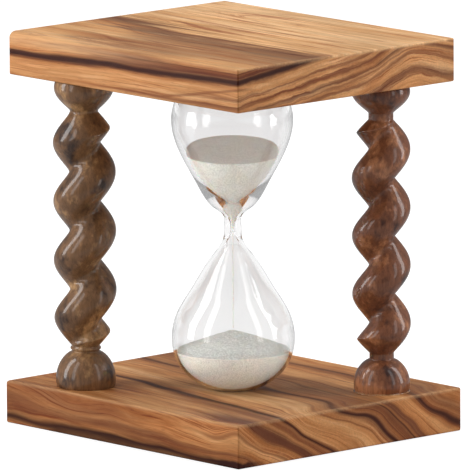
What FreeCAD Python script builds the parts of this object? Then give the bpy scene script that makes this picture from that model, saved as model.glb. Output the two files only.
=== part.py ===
import FreeCAD, Part
import math
import os

# Wooden sand timer: two olive-wood plates held apart by two turned barley-twist columns,
# with a blown glass vial of sand standing between them in shallow round seats.
# Millimetres, +Z up, origin at the centre of the base plate's underside. The plates'
# length and grain run along X.

# Overall
HEIGHT = 100.0
PLATE_THICKNESS = 11.0
BASE_LENGTH = 87.6
BASE_WIDTH = 75.5
TOP_LENGTH = 86.0
TOP_WIDTH = 73.0
BASE_TOP_Z = PLATE_THICKNESS
TOP_UNDER_Z = HEIGHT - PLATE_THICKNESS

# Edges of the plates: all are eased by hand, and one upper edge of each plate is worn
# rounder towards the -X-Y corner
EASED_EDGE = 0.45
TOP_WORN_EDGE = 2.4
BASE_WORN_EDGE = 1.7
WORN_EDGE_END = 0.5

# Where things stand: on a line beside the plates' diagonal, near one open corner
LEFT_COLUMN_AT = (-23.3, -28.8)
RIGHT_COLUMN_AT = (33.15, 20.45)
VIAL_AT = (4.9, -4.2)

# Dowels that join each column's ends to the plates
DOWEL_RADIUS = 2.5
DOWEL_LENGTH = 12.0
DOWEL_CHAMFER = 0.5
DOWEL_HOLE_RADIUS = 2.53
DOWEL_HOLE_DEPTH = 6.4

# Columns: each has its own lathe work, because both are turned and carved by hand.
# Heights are above the base plate's underside.
LEFT_COLUMN = {
    "foot_radius": 7.57,
    "foot_neck_z": 19.95,
    "foot_neck_radius": 3.44,
    "twist_start_z": 21.35,
    "ridge_radius": 7.88,
    "groove_radius": 3.85,
    "pitch": 14.97,
    "ridge_phase_z": 73.15,
    "twist_end_z": 80.9,
    "cap_neck_z": 81.3,
    "cap_neck_radius": 3.54,
    "cap_radius": 7.5,
    "shoulder": 8.4,
    "collar": 0.45,
}
RIGHT_COLUMN = {
    "foot_radius": 7.1,
    "foot_neck_z": 19.15,
    "foot_neck_radius": 3.08,
    "twist_start_z": 20.75,
    "ridge_radius": 7.36,
    "groove_radius": 3.12,
    "pitch": 14.71,
    "ridge_phase_z": 65.2,
    "twist_end_z": 80.0,
    "cap_neck_z": 81.7,
    "cap_neck_radius": 3.13,
    "cap_radius": 7.35,
    "shoulder": 7.0,
    "collar": 0.0,
}
RIDGE_AZIMUTH = math.radians(228.0)
GROOVE_ROUNDING = 0.26
BLANK_ALLOWANCE = 0.25
BULGE_HEIGHT = 1.9
FOOT_FULLNESS = 0.68
CAP_FULLNESS = 1.25
COLLAR_HALF_HEIGHT = 0.55
AROUND_POLES = 48
UPRIGHT_POLES = 108
SPLINE_DEGREE = 3

# Glass vial: outer and inner outlines as (radius, height) from the bottom up
VIAL_BOTTOM_Z = 10.05
VIAL_TOP_Z = 91.45
FILL_HOLE_RADIUS = 1.6
OUTER_OUTLINE = [
    (0.0, VIAL_BOTTOM_Z), (8.86, 12.48), (13.83, 17.26), (15.46, 23.2), (14.43, 29.6), (10.55, 36.35),
    (5.17, 44.9), (2.34, 49.5), (2.2, 52.3), (2.29, 54.95), (4.58, 57.05), (9.05, 63.4),
    (13.23, 71.35), (15.27, 79.9), (12.84, 86.8), (6.97, 90.55), (FILL_HOLE_RADIUS, VIAL_TOP_Z),
]
INNER_OUTLINE = [
    (0.0, 10.85), (8.5, 13.15), (13.15, 17.65), (14.65, 23.3), (13.68, 29.35), (9.85, 36.0),
    (4.35, 44.45), (1.5, 48.6), (0.62, 50.2), (0.45, 51.65), (0.65, 53.7), (1.3, 55.5),
    (2.3, 57.6), (5.0, 60.4), (8.05, 64.2), (12.0, 71.55), (14.15, 79.7), (11.95, 86.0),
    (6.4, 89.45), (FILL_HOLE_RADIUS, 90.35),
]

# Cork plug in the vial's fill hole
PLUG_RADIUS = 1.55
PLUG_TOP_Z = 91.6
PLUG_BOTTOM_Z = 88.45

# Sand
SAND_GAP = 0.06
LOWER_RIM_Z = 21.3
LOWER_PEAK_Z = 26.3
LOWER_PEAK_ROUNDING = 2.5
UPPER_RIM_Z = 71.55
UPPER_DIP = 1.6
UPPER_TILT = 7.0
UPPER_TILT_TOWARDS = (0.743, -0.669)
UPPER_TIP_Z = 51.95
STREAM_RADIUS = 0.15
STREAM_GAP = 0.05

# Round seats in the plates, each with a thin felt disc
BASE_SEAT_RADIUS = 5.8
BASE_SEAT_DEPTH = 2.2
BASE_PAD_TOP_Z = 9.9
TOP_SEAT_RADIUS = 10.6
TOP_SEAT_DEPTH = 3.6
TOP_PAD_BOTTOM_Z = 91.75
PAD_GAP = 0.2

UP = FreeCAD.Vector(0, 0, 1)


def vector(x, y, z):
    return FreeCAD.Vector(x, y, z)


def cylinder(radius, low, high, at):
    return Part.makeCylinder(radius, high - low, vector(at[0], at[1], low), UP)


def upper_edges(block, side, limit):
    """The block's upper edge along its -X or -Y side, which lies at limit."""
    found = []
    for edge in block.Edges:
        box = edge.BoundBox
        reach = box.XMax if side == "-X" else box.YMax
        if box.ZMin > PLATE_THICKNESS / 2 and reach < limit + 1e-6:
            found.append(edge)
    return found


def plate(length, width, low, worn_side, worn_edge):
    """A plate with eased edges, centred on Z, with its underside at low."""
    block = Part.makeBox(length, width, PLATE_THICKNESS, vector(-length / 2, -width / 2, 0))
    limit = -length / 2 if worn_side == "-X" else -width / 2
    edges = upper_edges(block, worn_side, limit)
    start = edges[0].valueAt(edges[0].FirstParameter)
    radii = (worn_edge, WORN_EDGE_END)
    if start.x + start.y > -(length + width) / 2 + 1:
        radii = (WORN_EDGE_END, worn_edge)
    body = block.makeFillet(EASED_EDGE, block.Edges)
    body = body.common(block.makeFillet(radii[0], radii[1], edges))
    body.translate(vector(0, 0, low))
    return body


def dome(height, low, high, low_radius, high_radius, fullness):
    """Radius of a turned dome between its widest height and its neck's height."""
    t = (height - low) / (high - low)
    return high_radius + (low_radius - high_radius) * max(0.0, 1 - t * t) ** fullness


def turned_radius(c, z):
    """Radius of the column as it left the lathe, before its twist was carved."""
    foot_wide_z = BASE_TOP_Z + BULGE_HEIGHT
    cap_wide_z = TOP_UNDER_Z - BULGE_HEIGHT
    if z < foot_wide_z:
        t = (foot_wide_z - z) / (c["foot_neck_z"] - foot_wide_z)
        return c["foot_radius"] * math.sqrt(1 - t * t)
    if z < c["foot_neck_z"]:
        return dome(z, foot_wide_z, c["foot_neck_z"], c["foot_radius"], c["foot_neck_radius"], FOOT_FULLNESS)
    if z < c["twist_start_z"]:
        t = (z - c["twist_start_z"] + COLLAR_HALF_HEIGHT) / COLLAR_HALF_HEIGHT
        return c["foot_neck_radius"] + c["collar"] * max(0.0, 1 - t * t)
    if z > cap_wide_z:
        t = (z - cap_wide_z) / (cap_wide_z - c["cap_neck_z"])
        return c["cap_radius"] * math.sqrt(1 - t * t)
    if z > c["cap_neck_z"]:
        return dome(z, cap_wide_z, c["cap_neck_z"], c["cap_radius"], c["cap_neck_radius"], CAP_FULLNESS)
    if z > c["twist_end_z"]:
        return c["cap_neck_radius"]
    low = (z - c["twist_start_z"]) / c["shoulder"]
    high = (c["twist_end_z"] - z) / c["shoulder"]
    if low < high:
        neck, t = c["foot_neck_radius"], min(low, 1.0)
    else:
        neck, t = c["cap_neck_radius"], min(high, 1.0)
    return neck + (c["ridge_radius"] + BLANK_ALLOWANCE - neck) * math.sin(math.pi / 2 * t)


def twist_radius(c, angle, z):
    """Radius of an endless one-start right-hand twist: round ridges with narrow grooves."""
    turns = (z - c["ridge_phase_z"]) / c["pitch"] - (angle - RIDGE_AZIMUTH) / (2 * math.pi)
    across = math.cos(math.pi * turns)
    rounded = math.sqrt(across ** 2 + GROOVE_ROUNDING ** 2) - GROOVE_ROUNDING
    crest = math.sqrt(1 + GROOVE_ROUNDING ** 2) - GROOVE_ROUNDING
    return c["groove_radius"] + (c["ridge_radius"] - c["groove_radius"]) * rounded / crest


def column_radius(c, angle, z):
    turned = turned_radius(c, z)
    if c["twist_start_z"] < z < c["twist_end_z"]:
        return min(turned, twist_radius(c, angle, z))
    return turned


def column_surface(c, at):
    """The column's side as one smooth spline surface, closed around the axis."""
    spans = UPRIGHT_POLES - SPLINE_DEGREE
    knots = [0.0] * SPLINE_DEGREE + [float(k) for k in range(spans + 1)] + [float(spans)] * SPLINE_DEGREE
    heights = []
    for j in range(UPRIGHT_POLES):
        middle = sum(knots[j + 1:j + 1 + SPLINE_DEGREE]) / SPLINE_DEGREE
        heights.append(BASE_TOP_Z + (TOP_UNDER_Z - BASE_TOP_Z) * middle / spans)
    swell = 3 / (2 + math.cos(2 * math.pi / AROUND_POLES))
    poles = []
    for i in range(AROUND_POLES):
        angle = 2 * math.pi * i / AROUND_POLES
        row = []
        for z in heights:
            r = swell * column_radius(c, angle, z)
            row.append(vector(at[0] + r * math.cos(angle), at[1] + r * math.sin(angle), z))
        poles.append(row)
    surface = Part.BSplineSurface()
    surface.buildFromPolesMultsKnots(
        poles,
        [1] * (AROUND_POLES + 1),
        [SPLINE_DEGREE + 1] + [1] * (spans - 1) + [SPLINE_DEGREE + 1],
        [float(k) for k in range(AROUND_POLES + 1)],
        [float(k) for k in range(spans + 1)],
        True,
        False,
        SPLINE_DEGREE,
        SPLINE_DEGREE,
    )
    return surface


def column(c, at):
    """A column between the plates, with a dowel hole in each end."""
    side = column_surface(c, at).toShape()
    ends = []
    for edge in side.Edges:
        if edge.BoundBox.ZLength < 1e-6:
            ends.append(Part.Face(Part.Wire(edge)))
    shell = Part.makeShell([side] + ends)
    shell.sewShape()
    body = Part.makeSolid(shell)
    low_hole = cylinder(DOWEL_HOLE_RADIUS, BASE_TOP_Z - 1, BASE_TOP_Z + DOWEL_HOLE_DEPTH, at)
    high_hole = cylinder(DOWEL_HOLE_RADIUS, TOP_UNDER_Z - DOWEL_HOLE_DEPTH, TOP_UNDER_Z + 1, at)
    return body.cut(low_hole).cut(high_hole)


def dowel(middle_z, at):
    body = cylinder(DOWEL_RADIUS, middle_z - DOWEL_LENGTH / 2, middle_z + DOWEL_LENGTH / 2, at)
    rims = [e for e in body.Edges if e.Length > DOWEL_LENGTH and e.BoundBox.ZLength < 1e-6]
    return body.makeChamfer(DOWEL_CHAMFER, rims)


def smooth_line(outline, start=None, end=None):
    """A smooth curve in the XZ plane through (radius, height) points."""
    points = [vector(r, 0, z) for r, z in outline]
    curve = Part.BSplineCurve()
    if start is not None:
        curve.interpolate(Points=points, InitialTangent=start, FinalTangent=end)
    else:
        curve.interpolate(Points=points)
    return curve


def turned(edges, at):
    """The solid that a closed XZ outline sweeps around Z, moved to stand at a point."""
    face = Part.Face(Part.Wire(edges))
    body = face.revolve(vector(0, 0, 0), UP, 360)
    body.translate(vector(at[0], at[1], 0))
    return body


def line(a, b):
    return Part.makeLine(vector(a[0], 0, a[1]), vector(b[0], 0, b[1]))


def outline_curves():
    out = vector(1, 0, 0)
    outer = smooth_line(OUTER_OUTLINE, out * 9, vector(-6, 0, 0.5))
    inner = smooth_line(INNER_OUTLINE, out * 8, vector(-5, 0, 0.5))
    return outer, inner


def vial(outer, inner):
    edges = [
        outer.toShape(),
        line(OUTER_OUTLINE[-1], INNER_OUTLINE[-1]),
        inner.toShape(),
        line(INNER_OUTLINE[0], OUTER_OUTLINE[0]),
    ]
    return turned(edges, VIAL_AT)


def sand_inside(outline_gap):
    """The space that sand can fill: the inner outline, moved in by a gap."""
    outline = [(max(r - outline_gap, 0.0), z) for r, z in INNER_OUTLINE]
    outline[0] = (0.0, INNER_OUTLINE[0][1] + outline_gap)
    curve = smooth_line(outline, vector(8, 0, 0), vector(-5, 0, 0.5))
    top = outline[-1][1]
    return turned([curve.toShape(), line(outline[-1], (0, top)), line((0, top), outline[0])], VIAL_AT)


def lower_sand(space):
    """The heap in the lower bulb, with a low rounded peak under the stream."""
    wide = 20.0
    shoulder = LOWER_PEAK_ROUNDING
    drop = (LOWER_PEAK_Z - LOWER_RIM_Z) / 14.0
    slope_z = LOWER_PEAK_Z - drop * shoulder
    rounding = Part.Arc(
        vector(0, 0, LOWER_PEAK_Z - drop * shoulder / 2),
        vector(shoulder / 2, 0, LOWER_PEAK_Z - drop * shoulder * 0.62),
        vector(shoulder, 0, slope_z),
    )
    edges = [
        rounding.toShape(),
        line((shoulder, slope_z), (wide, slope_z - drop * (wide - shoulder))),
        line((wide, slope_z - drop * (wide - shoulder)), (wide, 0)),
        line((wide, 0), (0, 0)),
        line((0, 0), (0, LOWER_PEAK_Z - drop * shoulder / 2)),
    ]
    return space.common(turned(edges, VIAL_AT))


def upper_sand(space):
    """The sand still in the upper bulb: a shallow dip over the neck, sunk towards one side."""
    wide = 20.0
    deep = 30.0
    edges = [
        line((0, UPPER_RIM_Z - deep), (wide, UPPER_RIM_Z - deep)),
        line((wide, UPPER_RIM_Z - deep), (wide, UPPER_RIM_Z)),
        line((wide, UPPER_RIM_Z), (11.0, UPPER_RIM_Z)),
        line((11.0, UPPER_RIM_Z), (0, UPPER_RIM_Z - UPPER_DIP)),
        line((0, UPPER_RIM_Z - UPPER_DIP), (0, UPPER_RIM_Z - deep)),
    ]
    below_surface = turned(edges, VIAL_AT)
    level = vector(-UPPER_TILT_TOWARDS[1], UPPER_TILT_TOWARDS[0], 0)
    below_surface.rotate(vector(VIAL_AT[0], VIAL_AT[1], UPPER_RIM_Z), level, UPPER_TILT)
    above_tip = cylinder(wide, UPPER_TIP_Z, UPPER_RIM_Z + wide, VIAL_AT)
    return space.common(above_tip).common(below_surface)


def build():
    """Every node of the timer, by name."""
    nodes = {}
    base = plate(BASE_LENGTH, BASE_WIDTH, 0, "-X", BASE_WORN_EDGE)
    top = plate(TOP_LENGTH, TOP_WIDTH, TOP_UNDER_Z, "-Y", TOP_WORN_EDGE)
    base = base.cut(cylinder(BASE_SEAT_RADIUS, BASE_TOP_Z - BASE_SEAT_DEPTH, BASE_TOP_Z + 1, VIAL_AT))
    top = top.cut(cylinder(TOP_SEAT_RADIUS, TOP_UNDER_Z - 1, TOP_UNDER_Z + TOP_SEAT_DEPTH, VIAL_AT))
    for name, shape, at in (("left", LEFT_COLUMN, LEFT_COLUMN_AT), ("right", RIGHT_COLUMN, RIGHT_COLUMN_AT)):
        nodes[name + "_column"] = column(shape, at)
        nodes[name + "_base_dowel"] = dowel(BASE_TOP_Z, at)
        nodes[name + "_top_dowel"] = dowel(TOP_UNDER_Z, at)
        base = base.cut(cylinder(DOWEL_HOLE_RADIUS, BASE_TOP_Z - DOWEL_HOLE_DEPTH, BASE_TOP_Z + 1, at))
        top = top.cut(cylinder(DOWEL_HOLE_RADIUS, TOP_UNDER_Z - 1, TOP_UNDER_Z + DOWEL_HOLE_DEPTH, at))
    nodes["base_plate"] = base
    nodes["top_plate"] = top
    nodes["base_seat_pad"] = cylinder(
        BASE_SEAT_RADIUS - PAD_GAP, BASE_TOP_Z - BASE_SEAT_DEPTH, BASE_PAD_TOP_Z, VIAL_AT
    )
    nodes["top_seat_pad"] = cylinder(
        TOP_SEAT_RADIUS - PAD_GAP, TOP_PAD_BOTTOM_Z, TOP_UNDER_Z + TOP_SEAT_DEPTH, VIAL_AT
    )
    outer, inner = outline_curves()
    nodes["glass_vial"] = vial(outer, inner)
    nodes["fill_plug"] = cylinder(PLUG_RADIUS, PLUG_BOTTOM_Z, PLUG_TOP_Z, VIAL_AT)
    space = sand_inside(SAND_GAP)
    nodes["lower_sand"] = lower_sand(space)
    nodes["upper_sand"] = upper_sand(space)
    nodes["falling_sand"] = cylinder(
        STREAM_RADIUS, LOWER_PEAK_Z + STREAM_GAP, UPPER_TIP_Z - STREAM_GAP, VIAL_AT
    )
    return nodes


os.makedirs("parts", exist_ok=True)
for node_name, node_shape in build().items():
    node_shape.Solids[0].exportStep("parts/" + node_name + ".step")
    print(node_name, len(node_shape.Solids), node_shape.isValid(), round(node_shape.Volume, 1))
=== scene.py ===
import math

import bmesh
import bpy
import numpy as np
from mathutils import Matrix, Vector


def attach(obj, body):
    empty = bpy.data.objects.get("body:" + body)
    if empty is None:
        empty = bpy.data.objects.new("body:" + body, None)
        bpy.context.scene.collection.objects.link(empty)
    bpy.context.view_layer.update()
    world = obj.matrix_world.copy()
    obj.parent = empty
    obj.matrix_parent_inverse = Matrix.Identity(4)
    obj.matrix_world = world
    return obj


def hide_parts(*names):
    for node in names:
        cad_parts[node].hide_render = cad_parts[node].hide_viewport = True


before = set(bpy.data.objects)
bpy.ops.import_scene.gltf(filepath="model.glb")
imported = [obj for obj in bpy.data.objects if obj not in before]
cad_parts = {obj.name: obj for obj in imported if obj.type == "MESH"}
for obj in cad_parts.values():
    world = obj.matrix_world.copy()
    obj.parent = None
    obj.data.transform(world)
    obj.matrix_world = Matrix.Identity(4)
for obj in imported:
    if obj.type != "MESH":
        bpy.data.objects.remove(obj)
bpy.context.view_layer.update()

MM = 0.001
CAMERA_AZIMUTH = math.radians(48.0)

# The plates' sizes, in mm
HEIGHT = 100.0
PLATE_THICKNESS = 11.0
BASE_LENGTH = 87.6
BASE_WIDTH = 75.5
TOP_LENGTH = 86.0
TOP_WIDTH = 73.0
BASE_TOP_Z = PLATE_THICKNESS
TOP_UNDER_Z = HEIGHT - PLATE_THICKNESS

# Where the columns and the vial stand, in mm
LEFT_AT = (-23.3, -28.8)
RIGHT_AT = (33.15, 20.45)
VIAL_AT = (4.9, -4.2)

# Most values of a noise texture lie between these
NOISE_LOW = 0.3
NOISE_HIGH = 0.7


def srgb(red, green, blue):
    """A colour given as 0-255 screen values, in the linear numbers that shaders take."""
    out = []
    for value in (red, green, blue):
        c = value / 255
        out.append(c / 12.92 if c <= 0.04045 else ((c + 0.055) / 1.055) ** 2.4)
    return (out[0], out[1], out[2], 1.0)


class Nodes:
    """Short ways to add nodes to a tree; values may be numbers, tuples or other nodes' sockets."""

    def __init__(self, tree):
        self.tree = tree

    def node(self, kind, **settings):
        made = self.tree.nodes.new(kind)
        for key, value in settings.items():
            setattr(made, key, value)
        return made

    def put(self, socket, value):
        if isinstance(value, bpy.types.NodeSocket):
            self.tree.links.new(value, socket)
        else:
            socket.default_value = value

    def place(self):
        """The point on the piece, in mm in the shared frame."""
        here = self.node("ShaderNodeTexCoord")
        made = self.node("ShaderNodeVectorMath", operation="SCALE")
        self.put(made.inputs[0], here.outputs["Object"])
        self.put(made.inputs["Scale"], 1 / MM)
        return made.outputs["Vector"]

    def split(self, vector):
        made = self.node("ShaderNodeSeparateXYZ")
        self.put(made.inputs[0], vector)
        return made.outputs

    def join(self, x, y, z):
        made = self.node("ShaderNodeCombineXYZ")
        for socket, value in zip(made.inputs, (x, y, z)):
            self.put(socket, value)
        return made.outputs[0]

    def math(self, operation, a, b=0.0):
        made = self.node("ShaderNodeMath", operation=operation)
        self.put(made.inputs[0], a)
        self.put(made.inputs[1], b)
        return made.outputs[0]

    def add(self, *terms):
        total = terms[0]
        for term in terms[1:]:
            total = self.math("ADD", total, term)
        return total

    def times(self, a, b):
        return self.math("MULTIPLY", a, b)

    def smooth(self, value, low, high):
        """0 below low, 1 above high, eased between; low may be the larger."""
        made = self.node("ShaderNodeMapRange", interpolation_type="SMOOTHSTEP")
        self.put(made.inputs["Value"], value)
        if low < high:
            self.put(made.inputs["From Min"], low)
            self.put(made.inputs["From Max"], high)
            return made.outputs["Result"]
        self.put(made.inputs["From Min"], high)
        self.put(made.inputs["From Max"], low)
        self.put(made.inputs["To Min"], 1.0)
        self.put(made.inputs["To Max"], 0.0)
        return made.outputs["Result"]

    def band(self, value, middle, half, edge):
        """1 within half of the middle, falling to 0 over the edge's width."""
        away = self.math("ABSOLUTE", self.math("SUBTRACT", value, middle))
        return self.smooth(away, half + edge, max(half - edge, 0.0))

    def noise(self, vector, scale=1.0, detail=2.0, roughness=0.5):
        made = self.node("ShaderNodeTexNoise")
        self.put(made.inputs["Vector"], vector)
        self.put(made.inputs["Scale"], scale)
        self.put(made.inputs["Detail"], detail)
        self.put(made.inputs["Roughness"], roughness)
        return made.outputs["Fac"]

    def stretched(self, place, stretch, seed, **settings):
        """Noise whose grains are longer where stretch is smaller; the seed moves it elsewhere."""
        made = self.node("ShaderNodeVectorMath", operation="MULTIPLY_ADD")
        self.put(made.inputs[0], place)
        self.put(made.inputs[1], stretch)
        self.put(made.inputs[2], (seed, seed * 0.37, seed * 1.71))
        return self.noise(made.outputs["Vector"], **settings)

    def ramp(self, value, stops):
        """The colour at a value from 0 to 1, between stops given as (value, colour)."""
        made = self.node("ShaderNodeValToRGB")
        elements = made.color_ramp.elements
        for index, (where, colour) in enumerate(stops):
            if index < 2:
                element = elements[index]
                element.position = where
            else:
                element = elements.new(where)
            element.color = colour
        self.put(made.inputs[0], value)
        return made.outputs[0]

    def mix(self, share, a, b, blend="MIX"):
        made = self.node("ShaderNodeMix", data_type="RGBA", blend_type=blend)
        self.put(made.inputs[0], share)
        self.put(made.inputs[6], a)
        self.put(made.inputs[7], b)
        return made.outputs[2]

    def level(self, value, low, high):
        """Noise around 0.5 turned into a factor between low and high."""
        made = self.node("ShaderNodeMapRange", clamp=True)
        self.put(made.inputs["Value"], value)
        self.put(made.inputs["From Min"], NOISE_LOW)
        self.put(made.inputs["From Max"], NOISE_HIGH)
        self.put(made.inputs["To Min"], low)
        self.put(made.inputs["To Max"], high)
        return made.outputs["Result"]

    def tint(self, colour, by):
        return self.mix(1.0, colour, by, "MULTIPLY")

    def shade(self, colour, factor):
        return self.tint(colour, self.join(factor, factor, factor))


class Shader(Nodes):
    """One Principled material."""

    def __init__(self, name):
        self.material = bpy.data.materials.new(name)
        self.material.use_nodes = True
        super().__init__(self.material.node_tree)
        self.surface = self.tree.nodes["Principled BSDF"]

    def set(self, **values):
        """Sets the surface's inputs by their names, with _ for each space."""
        for key, value in values.items():
            self.put(self.surface.inputs[key.replace("_", " ")], value)

    def end_with(self, shader):
        """Makes another shader, of which the surface is a part, the material's last one."""
        self.put(self.tree.nodes["Material Output"].inputs["Surface"], shader.outputs[0])

    def bump(self, height, strength, distance_mm):
        made = self.node("ShaderNodeBump")
        self.put(made.inputs["Height"], height)
        self.put(made.inputs["Strength"], strength)
        self.put(made.inputs["Distance"], distance_mm * MM)
        self.put(self.surface.inputs["Normal"], made.outputs[0])


# Olive wood of the plates

CREAM = srgb(236, 190, 140)
HONEY = srgb(216, 162, 108)
TAN = srgb(197, 138, 86)
AMBER = srgb(172, 110, 62)
RED_BROWN = srgb(126, 70, 44)
PLUM = srgb(98, 50, 36)
DEEP = srgb(54, 21, 15)
HAIRLINE_TINT = srgb(172, 108, 78)


def veins(s, colour, layer, lines):
    """Growth lines over a colour, each as (layer, half width, soft edge, strength, tone), in mm."""
    for middle, half, edge, strength, tone in lines:
        colour = s.mix(s.times(s.band(layer, middle, half, edge), strength), colour, tone)
    return colour


def strands(s, place, layer, per_layer, detail=6.0):
    """Uneven growth layers of every width, from 0 to 1 about 0.5, drawn out along the board."""
    x, y, z = s.split(place)
    drawn = s.join(s.times(layer, per_layer), s.times(x, 0.02), s.times(s.add(y, z), 0.035))
    return s.noise(drawn, detail=detail, roughness=0.68)


def tinted(s, tone):
    """The wood's colours from dark late growth to pale early growth."""
    return s.ramp(tone, [(0.0, RED_BROWN), (0.22, AMBER), (0.44, TAN), (0.68, HONEY), (0.95, CREAM)])


def blend(s, share, a, b):
    """a where the share is 0 and b where it is 1, for plain numbers."""
    return s.add(s.times(a, s.math("SUBTRACT", 1.0, share)), s.times(b, share))


def side_face(s, z, upper_z):
    """0 on a board's upper face and 1 on its sides, from just below its upper edge."""
    return s.smooth(z, upper_z - 0.05, upper_z - 0.8)


def side_tint(s, inside, colour, tint):
    """Multiplies the colour of a board's sides by a tint."""
    return s.mix(inside, colour, s.tint(colour, tint))


def upper_edge_highlight(s, place, length, width, upper_z):
    """1 along the upper edges of a board, where a painted highlight goes, and 0 a millimetre away from
    them.
    """
    x, y, z = s.split(place)
    past_x = s.add(s.math("ABSOLUTE", x), -length / 2)
    past_y = s.add(s.math("ABSOLUTE", y), -width / 2)
    past_z = s.add(z, -upper_z)
    nearest = s.math("MAXIMUM", s.add(past_x, past_z), s.add(past_y, past_z))
    return s.smooth(nearest, -1.1, -0.3)


def finish_wood(s, place, layer, colour, edge_highlight, per_layer, seed):
    """Adds hairlines, a painted highlight along the upper edges, fibres, pores, gloss and relief to a
    board's colour.
    """
    hairs = strands(s, place, layer, per_layer * 3.7)
    patches = s.stretched(place, (0.03, 0.09, 0.11), seed + 40.0, detail=2.0)
    fibres = s.stretched(place, (0.07, 1.5, 1.5), seed + 50.0, detail=3.0, roughness=0.6)
    pores = s.stretched(place, (0.35, 5.0, 5.0), seed + 60.0, detail=1.0)
    thin = s.times(s.smooth(hairs, 0.53, 0.64), s.smooth(patches, 0.36, 0.54))
    colour = s.mix(s.times(thin, 0.7), colour, s.tint(colour, HAIRLINE_TINT))
    colour = s.shade(colour, s.level(patches, 0.86, 1.1))
    colour = s.shade(colour, s.level(fibres, 0.9, 1.08))
    colour = s.mix(s.times(s.smooth(pores, 0.64, 0.74), 0.3), colour, PLUM)
    # Painted highlight: a pale cream band along the upper edges
    colour = s.mix(s.times(edge_highlight, s.level(fibres, 0.1, 0.3)), colour, CREAM)
    s.set(Base_Color=colour, Specular_IOR_Level=0.14)
    s.set(Roughness=s.add(s.level(fibres, 0.42, 0.54), s.times(edge_highlight, -0.06)))
    relief = s.add(s.times(fibres, 0.6), s.times(pores, -0.5), s.times(hairs, 0.4))
    s.bump(relief, 0.3, 0.12)


def top_wood():
    """Layers lie nearly flat: they are counted downward in mm from the near upper edge."""
    s = Shader("top_wood")
    place = s.place()
    x, y, z = s.split(place)

    # How the layers rise and fall over the board
    wander = s.stretched(place, (0.016, 0.05, 0.07), 3.0, detail=1.0)
    ripple = s.stretched(place, (0.035, 0.16, 0.3), 9.0, detail=3.0, roughness=0.6)
    calm = s.add(0.28, s.times(s.smooth(z, HEIGHT, HEIGHT - 4.0), 0.72))
    unrest = s.add(s.times(s.add(wander, -0.5), 1.4), s.times(s.add(ripple, -0.5), 1.6))
    rise = s.add(
        s.times(s.add(y, TOP_WIDTH / 2), 0.155),
        s.times(s.smooth(y, 4.0, 23.0), 3.2),
        s.times(s.smooth(y, 20.0, 42.0), -6.5),
    )
    depth = s.math("SUBTRACT", HEIGHT, z)
    layer = s.add(depth, rise, s.times(s.smooth(x, 0.0, -46.0), -1.25), s.times(unrest, calm))

    # The upper face cuts the layers so flat that its figure is drawn out along the board
    inside = side_face(s, z, HEIGHT)
    drawn_out = s.join(s.times(x, 0.016), s.times(y, 0.3), s.times(z, 0.3))
    on_face = s.noise(drawn_out, detail=6.0, roughness=0.68)
    growth = blend(s, inside, on_face, strands(s, place, layer, 0.55))
    frayed = s.add(blend(s, inside, on_face, strands(s, place, layer, 1.1)), -0.5)
    outside = s.math("SUBTRACT", 1.0, inside)
    streaks = s.noise(s.join(s.times(x, 0.03), s.times(y, 0.9), 7.0), detail=5.0, roughness=0.7)
    torn = s.times(s.times(s.add(streaks, -0.5), outside), 3.2)
    fringe = s.add(layer, torn, s.times(frayed, blend(s, inside, 6.0, 2.2)))

    # Where on the board each dark band shows, and how strongly
    cut = s.add(0.74, s.times(inside, 0.26))
    cracked = s.times(s.smooth(x, -24.0, 2.0), s.add(0.6, s.times(inside, 0.4)))
    blotch = s.times(s.times(s.smooth(x, -37.0, -24.0), s.smooth(x, 24.0, 4.0)), 0.62)
    ends = s.times(s.smooth(x, 14.0, 40.0), inside)
    foot = s.times(s.smooth(x, -24.0, 4.0), inside)
    far_top = s.times(s.smooth(y, -4.0, 12.0), outside)
    zone = s.add(
        0.5,
        s.times(outside, 0.13),
        s.times(s.smooth(layer, 4.4, 6.5), 0.13),
        s.times(far_top, 0.09),
    )
    colour = tinted(s, s.add(zone, s.times(s.add(growth, -0.5), 2.0)))
    colour = veins(s, colour, fringe, [
        (0.75, 0.4, 0.5, blotch, RED_BROWN),
        (2.0, 0.8, 0.7, s.times(cracked, 0.85), RED_BROWN),
        (1.35, 0.1, 0.35, s.times(s.times(cracked, inside), 0.8), PLUM),
        (2.55, 0.15, 0.4, s.times(s.times(cracked, inside), 0.8), PLUM),
        (3.8, 0.85, 0.7, s.times(cut, 0.85), PLUM),
        (7.7, 0.15, 0.5, s.times(ends, 0.75), RED_BROWN),
        (9.4, 0.1, 0.5, s.times(ends, 0.7), RED_BROWN),
        (9.7, 0.3, 0.6, s.times(foot, 0.7), RED_BROWN),
        (11.7, 0.3, 0.7, s.times(ends, 0.8), PLUM),
        (12.9, 0.1, 0.5, s.times(ends, 0.6), RED_BROWN),
        (14.4, 0.25, 0.7, s.times(ends, 0.75), RED_BROWN),
        (18.5, 0.7, 1.2, s.times(ends, 0.75), PLUM),
    ])
    heart = s.add(layer, s.times(s.add(growth, -0.5), blend(s, inside, 3.0, 1.1)))
    colour = veins(s, colour, heart, [(3.75, 0.7, 0.5, s.add(0.24, s.times(inside, 0.68)), DEEP)])
    branch = s.band(s.add(depth, s.times(x, 0.15), s.times(unrest, 0.5)), 11.9, 0.15, 0.45)
    near_side = s.times(s.smooth(x, 8.0, 20.0), s.smooth(y, -30.0, -36.0))
    colour = s.mix(s.times(s.times(branch, near_side), 0.6), colour, RED_BROWN)
    colour = side_tint(s, inside, colour, (1.04, 0.93, 0.86, 1.0))
    streaky = s.shade(colour, s.level(streaks, 0.7, 1.24))
    colour = s.mix(outside, colour, streaky)

    # The near upper edge is worn round towards the left corner, and a painted highlight lies along it
    near_edge = HEIGHT + TOP_WIDTH / 2
    rounded = s.smooth(s.math("SUBTRACT", z, y), near_edge - 3.9, near_edge - 1.9)
    rounded_edge_highlight = s.times(rounded, s.times(s.smooth(x, 30.0, -30.0), 2.2))
    edge_highlight = s.math("MAXIMUM", upper_edge_highlight(s, place, TOP_LENGTH, TOP_WIDTH, HEIGHT), rounded_edge_highlight)
    finish_wood(s, place, layer, colour, edge_highlight, 0.55, 3.0)
    return s.material


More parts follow.
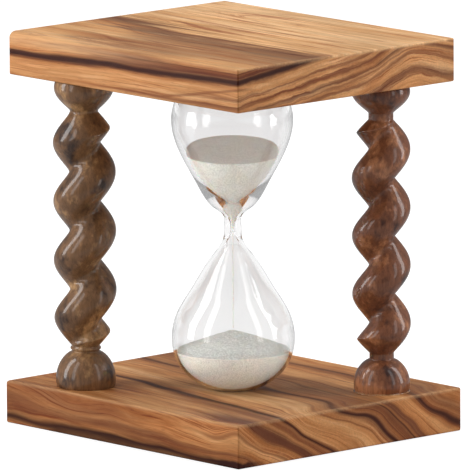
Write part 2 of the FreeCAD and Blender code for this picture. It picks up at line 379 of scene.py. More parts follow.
def base_wood():
    """Layers stand on edge and lean under the board: they are counted in mm across the top."""
    s = Shader("base_wood")
    place = s.place()
    x, y, z = s.split(place)

    # How the layers lean, slant and wave through the board
    wander = s.stretched(place, (0.014, 0.045, 0.07), 21.0, detail=2.0)
    ripple = s.stretched(place, (0.04, 0.085, 0.1), 27.0, detail=1.0)
    depth = s.math("SUBTRACT", BASE_TOP_Z, z)
    lean = s.times(depth, s.add(-0.9, s.times(depth, -0.02)))
    slant = s.times(x, s.add(0.1, s.times(depth, -0.008)))
    past = s.math("MAXIMUM", s.math("SUBTRACT", -22.0, x), 0.0)
    droop = s.times(past, s.times(s.smooth(depth, 2.0, 7.0), 0.09))
    bend = s.add(s.stretched(place, (0.02, 0.05, 0.09), 33.0, detail=0.5), -0.5)
    flames = s.times(bend, s.times(s.smooth(x, 34.0, 43.0), 17.0))
    unrest = s.add(s.times(s.add(wander, -0.5), 3.6), s.times(s.add(ripple, -0.5), 5.5))
    layer = s.add(y, lean, slant, droop, unrest, flames)
    growth = strands(s, place, layer, 0.22)
    frayed = s.add(strands(s, place, layer, 0.4), -0.5)
    fringe = s.add(layer, s.times(frayed, 6.5))

    # Where on the board each dark band shows, and how strongly
    inside = side_face(s, z, BASE_TOP_Z)
    ends = s.smooth(x, 16.0, 38.0)
    cut = s.add(0.66, s.times(inside, 0.34))
    zone = s.add(
        0.41,
        s.times(s.band(layer, -8.0, 4.5, 5.0), 0.24),
        s.times(s.band(layer, 22.0, 3.0, 4.0), 0.16),
        s.times(s.band(layer, -40.0, 1.5, 3.5), s.times(s.smooth(x, 14.0, 30.0), 0.34)),
        s.times(s.band(layer, -50.0, 1.5, 2.0), 0.2),
    )
    colour = tinted(s, s.add(zone, s.times(s.add(growth, -0.5), 1.9)))
    colour = veins(s, colour, fringe, [
        (-29.0, 3.2, 2.2, s.times(ends, 0.88), PLUM),
        (-21.0, 2.2, 2.4, s.times(s.smooth(x, -10.0, 20.0), 0.75), RED_BROWN),
        (-17.6, 1.2, 1.4, 0.75, RED_BROWN),
        (6.5, 7.0, 4.0, 0.36, PLUM),
        (3.1, 1.2, 1.6, s.times(cut, 0.75), PLUM),
        (10.0, 1.6, 1.6, s.times(cut, 0.6), PLUM),
        (15.4, 2.0, 1.8, s.times(cut, 0.85), PLUM),
        (28.6, 2.3, 2.0, s.times(cut, 0.8), PLUM),
        (34.5, 2.0, 3.0, s.times(ends, 0.6), PLUM),
        (-41.5, 1.2, 2.2, s.times(s.smooth(x, 15.0, -10.0), 0.65), RED_BROWN),
        (-45.0, 0.9, 1.6, 0.65, PLUM),
    ])
    drawn = s.add(layer, s.times(s.add(strands(s, place, layer, 0.2, detail=2.0), -0.5), 3.0))
    colour = veins(s, colour, drawn, [
        (-38.4, 0.2, 0.8, s.times(ends, 0.6), RED_BROWN),
        (-17.6, 0.5, 0.9, 0.9, DEEP),
        (-2.6, 0.1, 0.8, s.times(cut, 0.7), RED_BROWN),
        (3.1, 0.4, 1.0, s.times(cut, 0.85), DEEP),
        (7.0, 0.1, 0.7, s.times(cut, 0.7), PLUM),
        (12.4, 0.2, 0.8, s.times(cut, 0.8), DEEP),
        (28.6, 0.5, 1.1, s.times(cut, 0.85), DEEP),
        (-47.9, 0.9, 0.9, 0.95, DEEP),
    ])

    # Painted shade along the foot of the near left side, below its dark growth line, darker towards the
    # bottom
    painted_shade_reach = s.times(s.smooth(drawn, -47.0, -48.8), s.smooth(x, -30.0, -24.0))
    foot = s.times(painted_shade_reach, s.smooth(z, 9.0, 4.0))
    colour = s.mix(s.times(foot, s.level(growth, 0.96, 0.72)), colour, DEEP)
    # The near corner is darkened to near black along its lowest millimetres, up to a ragged line
    edge = s.noise(s.join(s.times(x, 0.12), s.times(y, 0.3), 5.0), detail=3.0)
    corner_bottom_dark = s.smooth(s.math("SUBTRACT", z, s.times(edge, 2.8)), 0.5, -0.4)
    near = s.times(s.smooth(x, 30.0, 38.0), s.smooth(y, -28.0, -35.0))
    colour = s.mix(s.times(s.times(corner_bottom_dark, near), 0.95), colour, DEEP)

    colour = side_tint(s, inside, colour, (1.08, 0.95, 0.86, 1.0))
    # Painted highlight along the base's upper edges
    edge_highlight = upper_edge_highlight(s, place, BASE_LENGTH, BASE_WIDTH, BASE_TOP_Z)
    finish_wood(s, place, layer, colour, edge_highlight, 0.3, 21.0)
    return s.material


# Varnished wood of the columns

def column_wood(name, light, middle, deep, seed):
    """Mottled wood in three tones under a clear gloss."""
    s = Shader(name)
    place = s.place()
    mottle = s.stretched(place, (0.16, 0.16, 0.1), seed, detail=4.0, roughness=0.62)
    clouds = s.stretched(place, (0.07, 0.07, 0.05), seed + 5.0, detail=1.0)
    grain = s.stretched(place, (1.1, 1.1, 0.09), seed + 9.0, detail=3.0, roughness=0.65)
    fibres = s.stretched(place, (4.0, 4.0, 0.25), seed + 13.0, detail=2.0)
    tone = s.add(s.times(mottle, 0.7), s.times(clouds, 0.3))
    colour = s.ramp(tone, [(0.38, deep), (0.47, middle), (0.53, middle), (0.61, light)])
    colour = s.shade(colour, s.level(grain, 0.66, 1.2))
    colour = s.mix(s.times(s.smooth(fibres, 0.58, 0.7), 0.4), colour, deep)
    s.set(Base_Color=colour, Specular_IOR_Level=0.25, Coat_Weight=0.7, Coat_Roughness=0.09)
    s.set(Roughness=s.level(mottle, 0.36, 0.5))
    waves = s.stretched(place, (0.35, 0.35, 0.35), seed + 20.0, detail=2.0)
    s.bump(s.add(s.times(waves, 1.3), s.times(grain, 0.2)), 0.8, 0.2)
    return s.material


def plain_wood(name, colour, seed):
    """Raw wood with a fine grain that runs upward."""
    s = Shader(name)
    place = s.place()
    grain = s.stretched(place, (2.0, 2.0, 0.1), seed, detail=3.0)
    s.set(Base_Color=s.shade(colour, s.level(grain, 0.85, 1.08)))
    s.set(Roughness=s.level(grain, 0.55, 0.75))
    s.bump(grain, 0.3, 0.05)
    return s.material


def felt():
    """Brown pressed felt."""
    s = Shader("felt")
    place = s.place()
    fuzz = s.noise(place, scale=2.5, detail=4.0, roughness=0.7)
    clumps = s.noise(place, scale=0.5, detail=2.0)
    colour = s.mix(fuzz, srgb(92, 70, 52), srgb(132, 106, 82))
    s.set(Base_Color=s.shade(colour, s.level(clumps, 0.85, 1.1)), Sheen_Weight=0.3)
    s.set(Roughness=s.level(clumps, 0.85, 1.0))
    s.bump(fuzz, 0.6, 0.2)
    return s.material


def cork():
    """Cork with dark specks."""
    s = Shader("cork")
    place = s.place()
    cells = s.noise(place, scale=3.0, detail=3.0, roughness=0.6)
    shaded_specks = s.noise(place, scale=7.0, detail=1.0)
    colour = s.mix(cells, srgb(150, 108, 72), srgb(206, 164, 118))
    colour = s.mix(s.smooth(shaded_specks, 0.62, 0.7), colour, srgb(88, 56, 38))
    s.set(Base_Color=colour)
    s.set(Roughness=s.level(cells, 0.75, 0.95))
    s.bump(cells, 0.5, 0.1)
    return s.material


SAND_GLOW = 0.16


def sand():
    """Fine pale sand with a faint painted glow: the heap's upward-facing slope is painted greyer, as shade,
    than the sand that lies against the glass.
    """
    s = Shader("sand")
    place = s.place()
    z = s.split(place)[2]
    grains = s.noise(place, scale=3.4, detail=2.0, roughness=0.7)
    clumps = s.noise(place, scale=0.9, detail=3.0, roughness=0.6)
    drift = s.noise(place, scale=0.12, detail=2.0)
    colour = s.ramp(grains, [
        (0.32, srgb(196, 196, 186)),
        (0.5, srgb(230, 230, 220)),
        (0.68, srgb(250, 249, 241)),
    ])
    # Painted shade: the heap's upward-facing slope low in the bulb is painted grey, with specks
    slope = s.split(s.node("ShaderNodeNewGeometry").outputs["Normal"])[2]
    heap_shade = s.times(s.smooth(slope, 0.45, 0.8), s.smooth(z, 40.0, 34.0))
    speckle = s.noise(place, scale=2.3, detail=2.0, roughness=0.8)
    shaded_specks = s.ramp(speckle, [
        (0.36, srgb(126, 129, 127)),
        (0.5, srgb(158, 161, 158)),
        (0.62, srgb(192, 195, 191)),
    ])
    colour = s.mix(s.times(heap_shade, 0.85), colour, shaded_specks)
    colour = s.shade(colour, s.level(clumps, 0.96, 1.03))
    colour = s.shade(colour, s.level(drift, 0.97, 1.02))
    s.set(Base_Color=colour, Specular_IOR_Level=0.3, Subsurface_Weight=0.4, Subsurface_Scale=0.0015)
    # A faint warm glow over all the sand: painted light that stands in for light bounced from the wood
    s.set(Emission_Color=(1.0, 0.91, 0.79, 1.0), Emission_Strength=SAND_GLOW)
    s.set(Roughness=s.level(grains, 0.6, 0.9))
    s.bump(s.add(s.times(grains, 0.7), s.times(clumps, 0.4)), 0.5, 0.08)
    return s.material


INNER_REFLECTIONS = 2.5


def glass():
    """Clear glass that lets the lamps' light through to the sand, faintly tinted.

    Light that is thrown round inside the wall goes straight on after its third reflection,
    because it would otherwise run out of bounces there and leave black wedges.
    """
    s = Shader("glass")
    place = s.place()
    flow = s.stretched(place, (0.05, 0.05, 0.12), 4.0, detail=1.0)
    s.set(Base_Color=(0.945, 0.94, 0.94, 1.0), Roughness=0.0, IOR=1.5, Transmission_Weight=1.0)
    s.bump(flow, 0.05, 0.3)
    path = s.node("ShaderNodeLightPath")
    clear = s.node("ShaderNodeBsdfTransparent")
    clear.inputs["Color"].default_value = (0.93, 0.94, 0.94, 1.0)
    mix = s.node("ShaderNodeMixShader")
    trapped = s.math("GREATER_THAN", path.outputs["Glossy Depth"], INNER_REFLECTIONS)
    s.put(mix.inputs[0], s.math("MAXIMUM", path.outputs["Is Shadow Ray"], trapped))
    s.put(mix.inputs[1], s.surface.outputs[0])
    s.put(mix.inputs[2], clear.outputs[0])
    s.end_with(mix)
    return s.material


def varnish():
    """Amber varnish that ran and set."""
    s = Shader("varnish")
    place = s.place()
    streaks = s.noise(place, scale=0.8, detail=2.0)
    colour = s.mix(streaks, srgb(150, 100, 60), srgb(196, 150, 104))
    s.set(Base_Color=colour, Coat_Weight=1.0, Coat_Roughness=0.03)
    s.set(Roughness=s.level(streaks, 0.12, 0.3))
    s.bump(streaks, 0.3, 0.1)
    return s.material


# Meshes

def piece(name, vertices, faces, material, flat=()):
    """A mesh object in the shared frame from mm vertices, smooth but for the flat faces."""
    mesh = bpy.data.meshes.new(name)
    mesh.from_pydata([Vector(v) * MM for v in vertices], [], faces)
    mesh.validate()
    work = bmesh.new()
    work.from_mesh(mesh)
    bmesh.ops.recalc_face_normals(work, faces=work.faces)
    work.to_mesh(mesh)
    work.free()
    mesh.materials.append(material)
    for polygon in mesh.polygons:
        polygon.use_smooth = polygon.index not in flat
    made = bpy.data.objects.new(name, mesh)
    bpy.context.scene.collection.objects.link(made)
    return made


def tube_faces(rows, around):
    """Quads between rings of vertices that follow one another, and a flat face at each end."""
    faces = []
    for j in range(rows - 1):
        low, high = j * around, (j + 1) * around
        for i in range(around):
            k = (i + 1) % around
            faces.append((low + i, low + k, high + k, high + i))
    faces.append(tuple(range(around))[::-1])
    faces.append(tuple(range((rows - 1) * around, rows * around)))
    return faces


def stands_for(made, node, body):
    """Shows a piece in place of a CAD node, riding its body."""
    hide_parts(node)
    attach(made, body)


LEFT_COLUMN = {
    "foot_radius": 7.57,
    "foot_neck_z": 19.95,
    "foot_neck_radius": 3.44,
    "twist_start_z": 21.35,
    "ridge_radius": 7.88,
    "groove_radius": 3.85,
    "pitch": 14.97,
    "ridge_phase_z": 73.15,
    "twist_end_z": 80.9,
    "cap_neck_z": 81.3,
    "cap_neck_radius": 3.54,
    "cap_radius": 7.5,
    "shoulder": 8.4,
    "collar": 0.45,
}
RIGHT_COLUMN = {
    "foot_radius": 7.1,
    "foot_neck_z": 19.15,
    "foot_neck_radius": 3.08,
    "twist_start_z": 20.75,
    "ridge_radius": 7.36,
    "groove_radius": 3.12,
    "pitch": 14.71,
    "ridge_phase_z": 65.2,
    "twist_end_z": 80.0,
    "cap_neck_z": 81.7,
    "cap_neck_radius": 3.13,
    "cap_radius": 7.35,
    "shoulder": 7.0,
    "collar": 0.0,
}
RIDGE_AZIMUTH = math.radians(228.0)
GROOVE_ROUNDING = 0.26
BLANK_ALLOWANCE = 0.25
BULGE_HEIGHT = 1.9
COLLAR_HALF_HEIGHT = 0.55
FOOT_FULLNESS = 0.68
CAP_FULLNESS = 1.25
CREASE_ROUNDING = 0.35


def dome(z, wide_z, neck_z, wide_radius, neck_radius, fullness):
    """Radius of a rounded end that narrows from its widest height to its neck."""
    t = (z - wide_z) / (neck_z - wide_z)
    return neck_radius + (wide_radius - neck_radius) * max(0.0, 1 - t * t) ** fullness


def turned_radius(c, z):
    """Radius of the column as it left the lathe, before its twist was carved."""
    foot_wide_z = BASE_TOP_Z + BULGE_HEIGHT
    cap_wide_z = TOP_UNDER_Z - BULGE_HEIGHT
    if z < foot_wide_z:
        t = (foot_wide_z - z) / (c["foot_neck_z"] - foot_wide_z)
        return c["foot_radius"] * math.sqrt(1 - t * t)
    if z < c["foot_neck_z"]:
        return dome(
            z, foot_wide_z, c["foot_neck_z"], c["foot_radius"], c["foot_neck_radius"], FOOT_FULLNESS
        )
    if z < c["twist_start_z"]:
        t = (z - c["twist_start_z"] + COLLAR_HALF_HEIGHT) / COLLAR_HALF_HEIGHT
        return c["foot_neck_radius"] + c["collar"] * max(0.0, 1 - t * t)
    if z > cap_wide_z:
        t = (z - cap_wide_z) / (cap_wide_z - c["cap_neck_z"])
        return c["cap_radius"] * math.sqrt(1 - t * t)
    if z > c["cap_neck_z"]:
        return dome(
            z, cap_wide_z, c["cap_neck_z"], c["cap_radius"], c["cap_neck_radius"], CAP_FULLNESS
        )
    if z > c["twist_end_z"]:
        return c["cap_neck_radius"]
    low = (z - c["twist_start_z"]) / c["shoulder"]
    high = (c["twist_end_z"] - z) / c["shoulder"]
    if low < high:
        neck, t = c["foot_neck_radius"], min(low, 1.0)
    else:
        neck, t = c["cap_neck_radius"], min(high, 1.0)
    return neck + (c["ridge_radius"] + BLANK_ALLOWANCE - neck) * math.sin(math.pi / 2 * t)


def twist_radius(c, angles, z):
    """Radii round one height of a one-start right-hand twist."""
    turns = (z - c["ridge_phase_z"]) / c["pitch"] - (angles - RIDGE_AZIMUTH) / (2 * math.pi)
    across = np.cos(np.pi * turns)
    rounded = np.sqrt(across ** 2 + GROOVE_ROUNDING ** 2) - GROOVE_ROUNDING
    crest = math.sqrt(1 + GROOVE_ROUNDING ** 2) - GROOVE_ROUNDING
    return c["groove_radius"] + (c["ridge_radius"] - c["groove_radius"]) * rounded / crest


def soft_lower(a, b, softness):
    """The lower of two radii, with the crease between them rounded."""
    gap = np.maximum(softness - np.abs(a - b), 0.0) / softness
    return np.minimum(a, b) - gap * gap * softness / 4


def column(name, c, at, material):
    """A turned column with its twist, from the base plate up to the top plate."""
    around = 168
    rows = 420
    angles = np.linspace(0, 2 * math.pi, around, endpoint=False)
    vertices = []
    for z in np.linspace(BASE_TOP_Z, TOP_UNDER_Z, rows):
        radii = np.full(around, turned_radius(c, z))
        if c["twist_start_z"] < z < c["twist_end_z"]:
            radii = soft_lower(radii, twist_radius(c, angles, z), CREASE_ROUNDING)
        for r, angle in zip(radii, angles):
            vertices.append((at[0] + r * math.cos(angle), at[1] + r * math.sin(angle), z))
    faces = tube_faces(rows, around)
    return piece(name, vertices, faces, material, flat=(len(faces) - 2, len(faces) - 1))


def smooth_curve(points, start, end, count):
    """Points along a cubic spline through (radius, height) points with given end slopes."""
    known = np.array(points, float)
    steps = np.linalg.norm(np.diff(known, axis=0), axis=1)
    along = np.concatenate([[0.0], np.cumsum(steps)])
    n = len(known)

    # The slopes at the points, for which the curve's bend does not jump at any point
    system = np.zeros((n, n))
    right = np.zeros((n, 2))
    system[0, 0] = system[-1, -1] = 1.0
    right[0] = np.array(start) / np.linalg.norm(start)
    right[-1] = np.array(end) / np.linalg.norm(end)
    for i in range(1, n - 1):
        before, after = steps[i - 1], steps[i]
        system[i, i - 1] = after
        system[i, i] = 2 * (before + after)
        system[i, i + 1] = before
        slope_in = (known[i] - known[i - 1]) / before
        slope_out = (known[i + 1] - known[i]) / after
        right[i] = 3 * (after * slope_in + before * slope_out)
    slopes = np.linalg.solve(system, right)

    out = []
    for length in np.linspace(0, along[-1], count):
        i = min(int(np.searchsorted(along, length, side="right")) - 1, n - 2)
        h = steps[i]
        t = (length - along[i]) / h
        out.append(
            known[i] * (1 + 2 * t) * (1 - t) ** 2
            + slopes[i] * h * t * (1 - t) ** 2
            + known[i + 1] * t * t * (3 - 2 * t)
            + slopes[i + 1] * h * t * t * (t - 1)
        )
    return [(max(float(r), 0.0), float(z)) for r, z in out]


ON_AXIS = 1e-4


def still(x, y, z):
    return 0.0


def lathe(name, outline, at, material, around, wobble=still):
    """Turns an outline of (radius, height) points; points on the axis become one vertex."""
    vertices = []
    rows = []
    for r, z in outline:
        if r < ON_AXIS:
            rows.append([len(vertices)])
            vertices.append((at[0], at[1], z + wobble(0.0, 0.0, z)))
            continue
        row = []
        for i in range(around):
            angle = 2 * math.pi * i / around
            x = r * math.cos(angle)
            y = r * math.sin(angle)
            row.append(len(vertices))
            vertices.append((at[0] + x, at[1] + y, z + wobble(x, y, z)))
        rows.append(row)
    faces = []
    for low, high in zip(rows, rows[1:]):
        for i in range(around):
            k = (i + 1) % around
            if len(low) == 1 and len(high) == 1:
                continue
            if len(low) == 1:
                faces.append((low[0], high[k], high[i]))
            elif len(high) == 1:
                faces.append((low[i], low[k], high[0]))
            else:
                faces.append((low[i], low[k], high[k], high[i]))
    return piece(name, vertices, faces, material)


FILL_HOLE_RADIUS = 1.6
OUTER_OUTLINE = [
    (0.0, 10.05), (8.86, 12.48), (13.83, 17.26), (15.46, 23.2), (14.43, 29.6), (10.55, 36.35),
    (5.17, 44.9), (2.34, 49.5), (2.2, 52.3), (2.29, 54.95), (4.58, 57.05), (9.05, 63.4),
    (13.23, 71.35), (15.27, 79.9), (12.84, 86.8), (6.97, 90.55), (FILL_HOLE_RADIUS, 91.45),
]
INNER_OUTLINE = [
    (0.0, 10.85), (8.5, 13.15), (13.15, 17.65), (14.65, 23.3), (13.68, 29.35), (9.85, 36.0),
    (4.35, 44.45), (1.5, 48.6), (0.62, 50.2), (0.45, 51.65), (0.65, 53.7), (1.3, 55.5),
    (2.3, 57.6), (5.0, 60.4), (8.05, 64.2), (12.0, 71.55), (14.15, 79.7), (11.95, 86.0),
    (6.4, 89.45), (FILL_HOLE_RADIUS, 90.35),
]
SAND_GAP = 0.06
LOWER_RIM_Z = 21.3
LOWER_PEAK_Z = 26.3
HEAP_RADIUS = 14.0
HEAP_ROUNDING = 1.1
HEAP_SUNK = 0.6
UPPER_RIM_Z = 71.55
UPPER_DIP = 1.6
DIP_RADIUS = 11.0
DIP_FULLNESS = 1.3
UPPER_TILT = 7.0
UPPER_TILT_TOWARDS = (0.743, -0.669)
UPPER_TIP_Z = 51.95
STREAM_RADIUS = 0.13
STREAM_WAVER = 0.015
STREAM_GAP = 0.05
GLASS_POINTS = 300
SAND_POINTS = 420
SAND_AROUND = 144
TOP_MARGIN = 0.05
RELIEF_WAVES = 14
SHORTEST_WAVE = 1.2
LONGEST_WAVE = 6.0


def crossing(outline, height):
    """Radius of the outline at a height that it crosses once."""
    for (r0, z0), (r1, z1) in zip(outline, outline[1:]):
        if min(z0, z1) <= height <= max(z0, z1) and z0 != z1:
            return r0 + (r1 - r0) * (height - z0) / (z1 - z0)
    raise ValueError(height)


def grain_relief(seed, size):
    """Small seeded bumps, in mm, that make a poured surface uneven; longer waves are higher."""
    source = np.random.RandomState(seed)
    waves = []
    for _ in range(RELIEF_WAVES):
        angle = source.uniform(0, 2 * math.pi)
        length = source.uniform(SHORTEST_WAVE, LONGEST_WAVE)
        phase = source.uniform(0, 6.28)
        height = size * length / 20
        waves.append((math.cos(angle) / length, math.sin(angle) / length, phase, height))

    def lift(x, y):
        total = 0.0
        for a, b, phase, height in waves:
            total += height * math.sin(2 * math.pi * (a * x + b * y) + phase)
        return total

    return lift


def sand_wall():
    """The sand's side where it lies against the glass, from the foot up."""
    outline = [(max(r - SAND_GAP, 0.0), z) for r, z in INNER_OUTLINE]
    outline[0] = (0.0, INNER_OUTLINE[0][1] + SAND_GAP)
    return smooth_curve(outline, (1, 0), (-1, 0.08), SAND_POINTS)


def heap_top(r):
    """Height of the lower heap at a radius, with a rounded peak."""
    drop = (LOWER_PEAK_Z - LOWER_RIM_Z) / HEAP_RADIUS
    rounded = math.sqrt(r * r + HEAP_ROUNDING ** 2) - HEAP_ROUNDING
    return LOWER_PEAK_Z - HEAP_SUNK - drop * rounded


def lower_sand(material):
    """The heap in the lower bulb, turned, with an uneven top."""
    wall = sand_wall()
    rim = crossing(wall, LOWER_RIM_Z)
    sides = [p for p in wall if p[1] < heap_top(rim)]
    steps = 60
    radii = [rim * (1 - k / steps) for k in range(steps + 1)]
    top = [(r, heap_top(r)) for r in radii]
    lift = grain_relief(5, 0.12)

    def wobble(x, y, z):
        r = math.hypot(x, y)
        on_top = z > heap_top(r) - TOP_MARGIN
        return lift(x, y) * max(0.0, 1 - (r / rim) ** 6) if on_top else 0.0

    return lathe("lower_sand_grains", sides + top, VIAL_AT, material, SAND_AROUND, wobble)


def upper_sand(material):
    """The upper sand's level dips over the neck and is sunk towards one side."""
    slope = math.tan(math.radians(UPPER_TILT))
    around = SAND_AROUND
    side_rows = 90
    top_rows = 56
    lift = grain_relief(8, 0.1)
    upper = [p for p in sand_wall() if UPPER_TIP_Z < p[1] < UPPER_RIM_Z + 4.0]

    # Where the tipped level meets the glass, all round
    rims = []
    directions = []
    for i in range(around):
        angle = 2 * math.pi * i / around
        lean = (math.cos(angle) * UPPER_TILT_TOWARDS[0] + math.sin(angle) * UPPER_TILT_TOWARDS[1]) * slope
        edge = next(k for k, (r, z) in enumerate(upper) if z > UPPER_RIM_Z - r * lean)
        (r0, z0), (r1, z1) = upper[edge - 1], upper[edge]
        share = (UPPER_RIM_Z - r0 * lean - z0) / ((z1 - z0) + (r1 - r0) * lean)
        rims.append((r0 + (r1 - r0) * share, z0 + (z1 - z0) * share))
        directions.append((angle, lean))

    # The side from the tip up to the rim, then the top from the rim in to the middle
    vertices = [(VIAL_AT[0], VIAL_AT[1], UPPER_TIP_Z)]
    for j in range(side_rows):
        share = j / (side_rows - 1)
        for i in range(around):
            angle = directions[i][0]
            z = UPPER_TIP_Z + (rims[i][1] - UPPER_TIP_Z) * share
            r = rims[i][0] if j == side_rows - 1 else crossing(upper, max(z, upper[0][1]))
            vertices.append((VIAL_AT[0] + r * math.cos(angle), VIAL_AT[1] + r * math.sin(angle), z))
    for j in range(1, top_rows):
        share = 1 - j / top_rows
        for i in range(around):
            angle, lean = directions[i]
            r = rims[i][0] * share
            dip = UPPER_DIP * (1 - min(r / DIP_RADIUS, 1.0) ** DIP_FULLNESS)
            x, y = r * math.cos(angle), r * math.sin(angle)
            z = UPPER_RIM_Z - dip - r * lean + lift(x, y) * (1 - share ** 6)
            vertices.append((VIAL_AT[0] + x, VIAL_AT[1] + y, z))
    vertices.append((VIAL_AT[0], VIAL_AT[1], UPPER_RIM_Z - UPPER_DIP + lift(0.0, 0.0)))
    rows = side_rows + top_rows - 1
    faces = []
    for i in range(around):
        k = (i + 1) % around
        faces.append((0, 1 + k, 1 + i))
        for j in range(rows - 1):
            low, high = 1 + j * around, 1 + (j + 1) * around
            faces.append((low + i, low + k, high + k, high + i))
        last = 1 + (rows - 1) * around
        faces.append((last + i, last + k, len(vertices) - 1))
    return piece("upper_sand_grains", vertices, faces, material)


def stream(material):
    """The thin stream of falling sand, a little uneven."""
    low = LOWER_PEAK_Z + STREAM_GAP
    high = UPPER_TIP_Z - STREAM_GAP
    steps = 80
    outline = [(0.0, low)]
    for k in range(steps + 1):
        radius = STREAM_RADIUS + STREAM_WAVER * math.sin(k * 1.7)
        outline.append((radius, low + (high - low) * k / steps))
    outline.append((0.0, high))
    return lathe("sand_stream", outline, VIAL_AT, material, around=20)


def vial(material):
    """The blown glass, outside and inside, open at its filling hole."""
    outer = smooth_curve(OUTER_OUTLINE, (1, 0), (-1, 0.083), GLASS_POINTS)
    inner = smooth_curve(INNER_OUTLINE, (1, 0), (-1, 0.1), GLASS_POINTS)
    outline = outer + inner[::-1]
    return lathe("vial_glass", outline, VIAL_AT, material, around=192)


def varnish_bead(material):
    """The uneven shiny bead that squeezed out round the front of the right foot."""
    source = np.random.RandomState(3)
    middle = RIGHT_COLUMN["foot_radius"] * 0.965 + 0.12
    toward = CAMERA_AZIMUTH - math.pi / 2
    reach = 1.75
    count = 120
    ring = 10
    phases = source.uniform(0, 6.28, 5)
    vertices = []
    for i in range(count):
        share = i / (count - 1)
        angle = toward - reach + 2 * reach * share
        swell = 0.26 + 0.07 * math.sin(9 * angle + phases[0]) + 0.05 * math.sin(23 * angle + phases[1])
        swell *= max(0.02, math.sin(math.pi * share)) ** 0.35
        for j in range(ring):
            turn = 2 * math.pi * j / ring
            r = middle + swell * 1.3 * math.cos(turn)
            z = BASE_TOP_Z + max(swell * 0.9 * math.sin(turn), 0.0)
            vertices.append((RIGHT_AT[0] + r * math.cos(angle), RIGHT_AT[1] + r * math.sin(angle), z))
    return piece("foot_varnish_bead", vertices, tube_faces(count, ring), material)


def dress(node, material):
    """Gives a CAD node's mesh a material."""
    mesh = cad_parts[node].data
    mesh.materials.clear()
    mesh.materials.append(material)


dress("base_plate", base_wood())
dress("top_plate", top_wood())
dowel_wood = plain_wood("dowel_wood", srgb(214, 182, 138), 70.0)
for end in ("left_base", "left_top", "right_base", "right_top"):
    dress(end + "_dowel", dowel_wood)
felt_cloth = felt()
dress("base_seat_pad", felt_cloth)
dress("top_seat_pad", felt_cloth)
dress("fill_plug", cork())

left_wood = column_wood("left_column_wood", srgb(196, 150, 100), srgb(132, 94, 61), srgb(62, 40, 28), 31.0)
right_wood = column_wood("right_column_wood", srgb(190, 127, 86), srgb(130, 78, 50), srgb(62, 32, 24), 47.0)
left_twist = column("left_twist", LEFT_COLUMN, LEFT_AT, left_wood)
stands_for(left_twist, "left_column", "frame")
right_twist = column("right_twist", RIGHT_COLUMN, RIGHT_AT, right_wood)
stands_for(right_twist, "right_column", "frame")

bead = varnish_bead(varnish())
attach(bead, "frame")

sand_material = sand()
stands_for(vial(glass()), "glass_vial", "vial")
stands_for(lower_sand(sand_material), "lower_sand", "vial")
stands_for(upper_sand(sand_material), "upper_sand", "vial")
stands_for(stream(sand_material), "falling_sand", "vial")


# Studio: pale floor, white surroundings, two divided window lights and a ceiling light

FLOOR_GLOW = 0.78
FAR_GLOW = 0.2
GLOW_THROUGH_GLASS = 0.6
FLOOR_REACH = 3000.0
FLOOR_Z = -0.05
WORLD_LIGHT = 0.25
VIAL_MIDDLE = (0.005, -0.004, 0.05)


def studio_floor():
    """A white floor that glows a little, so that it stays even and pale with a faint shadow."""
    s = Shader("floor")
    place = s.place()
    soft = s.noise(place, scale=0.004, detail=2.0)
    s.set(Base_Color=s.mix(soft, (0.42, 0.42, 0.42, 1), (0.45, 0.45, 0.45, 1)))
    s.set(Roughness=0.9, Specular_IOR_Level=0.0)
    path = s.node("ShaderNodeLightPath")
    glow = s.node("ShaderNodeEmission")
    glow.inputs["Color"].default_value = (1, 1, 1, 1)
    x, y, _ = s.split(place)
    far = s.math("SQRT", s.add(s.times(x, x), s.times(y, y)))
    seen = s.add(FLOOR_GLOW, s.times(s.smooth(far, 250.0, 1500.0), FAR_GLOW))
    straight = s.times(path.outputs["Is Camera Ray"], seen)
    through = s.times(path.outputs["Is Transmission Ray"], GLOW_THROUGH_GLASS)
    s.put(glow.inputs["Strength"], s.add(straight, through))
    both = s.node("ShaderNodeAddShader")
    s.put(both.inputs[0], s.surface.outputs[0])
    s.put(both.inputs[1], glow.outputs[0])
    s.end_with(both)
    signs = ((-1, -1), (1, -1), (1, 1), (-1, 1))
    corners = [(a * FLOOR_REACH, b * FLOOR_REACH, FLOOR_Z) for a, b in signs]
    made = piece("floor", corners, [(0, 1, 2, 3)], s.material)


def surroundings():
    """White where it is seen, straight, through the glass or in its rim, and grey as a light."""
    world = bpy.data.worlds.new("studio")
    world.use_nodes = True
    n = Nodes(world.node_tree)
    seen = n.tree.nodes["Background"]
    seen.inputs["Color"].default_value = (1, 1, 1, 1)
    seen.inputs["Strength"].default_value = 1.0
    lit = n.node("ShaderNodeBackground")
    lit.inputs["Color"].default_value = (0.97, 0.985, 1.0, 1)
    lit.inputs["Strength"].default_value = WORLD_LIGHT
    path = n.node("ShaderNodeLightPath")
    straight = n.math("MAXIMUM", path.outputs["Is Camera Ray"], path.outputs["Is Transmission Ray"])
    way = n.node("ShaderNodeTexCoord")
    ahead = n.node("ShaderNodeVectorMath", operation="DOT_PRODUCT")
    n.put(ahead.inputs[0], way.outputs["Generated"])
    n.put(ahead.inputs[1], (-math.sin(CAMERA_AZIMUTH), math.cos(CAMERA_AZIMUTH), 0.0))
    behind = n.smooth(ahead.outputs["Value"], 0.2, 0.6)
    mirrored = n.times(path.outputs["Is Singular Ray"], behind)
    mix = n.node("ShaderNodeMixShader")
    n.put(mix.inputs[0], n.math("MAXIMUM", straight, mirrored))
    n.put(mix.inputs[1], lit.outputs[0])
    n.put(mix.inputs[2], seen.outputs[0])
    n.put(n.tree.nodes["World Output"].inputs["Surface"], mix.outputs[0])
    bpy.context.scene.world = world


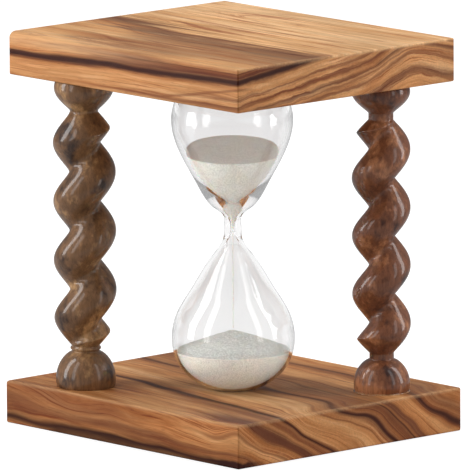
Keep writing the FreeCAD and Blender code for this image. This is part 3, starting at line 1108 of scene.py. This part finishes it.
def window(name, from_camera, elevation, wide, tall, far, radiance):
    """A soft rectangular light of even brightness that faces the vial, with its sizes in metres.

    It stands at angles in degrees: how far to the right of the camera, and how high.
    """
    turn = CAMERA_AZIMUTH + math.radians(from_camera)
    high = math.radians(elevation)
    aim = Vector(VIAL_MIDDLE)
    away = Vector((math.sin(turn) * math.cos(high), -math.cos(turn) * math.cos(high), math.sin(high)))
    light = bpy.data.lights.new(name, "AREA")
    light.shape = "RECTANGLE"
    light.size = wide
    light.size_y = tall
    light.energy = radiance * math.pi * wide * tall
    made = bpy.data.objects.new(name, light)
    made.location = aim + away * far
    made.rotation_mode = "QUATERNION"
    made.rotation_quaternion = away.to_track_quat("Z", "Y")
    made.visible_camera = False
    bpy.context.scene.collection.objects.link(made)


studio_floor()
surroundings()
window("left_window_front", -52.0, 24.0, 0.115, 0.55, 0.5, 2.8)
window("left_window_back", -88.0, 24.0, 0.13, 0.55, 0.5, 6.4)
window("right_window_front", 52.0, 24.0, 0.10, 0.55, 0.5, 2.0)
window("right_window_back", 88.0, 24.0, 0.12, 0.55, 0.5, 5.2)
window("ceiling", 160.0, 72.0, 0.9, 0.9, 1.4, 3.4)

# Camera: a long lens some way off and a little above, facing the near corner
ELEVATION = math.radians(9.85)
ROLL = math.radians(-0.32)
DISTANCE = 3.0
SENSOR_WIDTH = 36.0
FOCAL_LENGTH = 913.7
target = Vector((0.000487, 0.000540, 0.048946))
back = Vector((
    math.sin(CAMERA_AZIMUTH) * math.cos(ELEVATION),
    -math.cos(CAMERA_AZIMUTH) * math.cos(ELEVATION),
    math.sin(ELEVATION),
))
level_right = Vector((math.cos(CAMERA_AZIMUTH), math.sin(CAMERA_AZIMUTH), 0.0))
level_up = back.cross(level_right)
right = level_right * math.cos(ROLL) + level_up * math.sin(ROLL)
up = level_up * math.cos(ROLL) - level_right * math.sin(ROLL)
lens = bpy.data.cameras.new("photo_camera")
lens.sensor_width = SENSOR_WIDTH
lens.lens = FOCAL_LENGTH
lens.clip_start = 0.1
lens.clip_end = 50.0
camera = bpy.data.objects.new("photo_camera", lens)
bpy.context.scene.collection.objects.link(camera)
turned = Matrix((right, up, back)).transposed().to_4x4()
camera.matrix_world = Matrix.Translation(target + back * DISTANCE) @ turned
bpy.context.scene.camera = camera
bpy.context.scene.view_settings.view_transform = "Standard"
